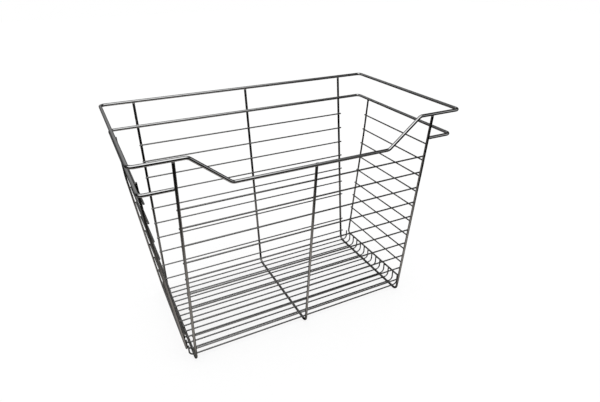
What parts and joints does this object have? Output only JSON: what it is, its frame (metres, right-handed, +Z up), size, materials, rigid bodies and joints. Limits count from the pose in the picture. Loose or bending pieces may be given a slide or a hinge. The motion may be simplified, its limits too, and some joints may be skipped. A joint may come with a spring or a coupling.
{
  "type": "pull-out closet basket",
  "caption": "Deep tapered basket of welded round wire, with a double rim that hangs on closet slides and a low scooped front for reaching in.",
  "frame": {"origin": "on the ground under the middle of the basket: the centre of the bottom of its bounding box", "axes": "+X along the front to the right, +Y to the back, +Z up"},
  "size_m": [0.6, 0.342, 0.4345],
  "materials": {
    "rim_steel": "bright plated wire, polished",
    "frame_steel": "bright plated wire, polished",
    "mesh_steel": "bright plated thin wire, a little duller"
  },
  "bodies": {
    "root": {"upper_rim": "rim_steel", "lower_rim": "rim_steel", "left_upright_frame": "frame_steel", "centre_upright_frame": "frame_steel", "right_upright_frame": "frame_steel", "left_side_frame": "frame_steel", "right_side_frame": "frame_steel", "front_wire_01": "mesh_steel", "back_wire_01": "mesh_steel", "front_wire_02": "mesh_steel", "back_wire_02": "mesh_steel", "front_wire_03": "mesh_steel", "back_wire_03": "mesh_steel", "front_wire_04": "mesh_steel", "back_wire_04": "mesh_steel", "front_wire_05": "mesh_steel", "back_wire_05": "mesh_steel", "front_wire_06": "mesh_steel", "back_wire_06": "mesh_steel", "front_wire_07": "mesh_steel", "back_wire_07": "mesh_steel", "front_wire_08": "mesh_steel", "back_wire_08": "mesh_steel", "front_wire_09": "mesh_steel", "back_wire_09": "mesh_steel", "front_wire_10": "mesh_steel", "back_wire_10": "mesh_steel", "left_wire_1": "mesh_steel", "right_wire_1": "mesh_steel", "left_wire_2": "mesh_steel", "right_wire_2": "mesh_steel", "left_wire_3": "mesh_steel", "right_wire_3": "mesh_steel", "left_wire_4": "mesh_steel", "right_wire_4": "mesh_steel", "left_wire_5": "mesh_steel", "right_wire_5": "mesh_steel", "left_wire_6": "mesh_steel", "right_wire_6": "mesh_steel", "left_wire_7": "mesh_steel", "right_wire_7": "mesh_steel", "left_wire_8": "mesh_steel", "right_wire_8": "mesh_steel", "left_wire_9": "mesh_steel", "right_wire_9": "mesh_steel", "floor_wire_01": "mesh_steel", "floor_wire_02": "mesh_steel", "floor_wire_03": "mesh_steel", "floor_wire_04": "mesh_steel", "floor_wire_05": "mesh_steel", "floor_wire_06": "mesh_steel", "floor_wire_07": "mesh_steel", "floor_wire_08": "mesh_steel", "floor_wire_09": "mesh_steel", "floor_wire_10": "mesh_steel", "floor_wire_11": "mesh_steel", "floor_wire_12": "mesh_steel", "floor_wire_13": "mesh_steel", "floor_wire_14": "mesh_steel"}
  },
  "joints": []
}
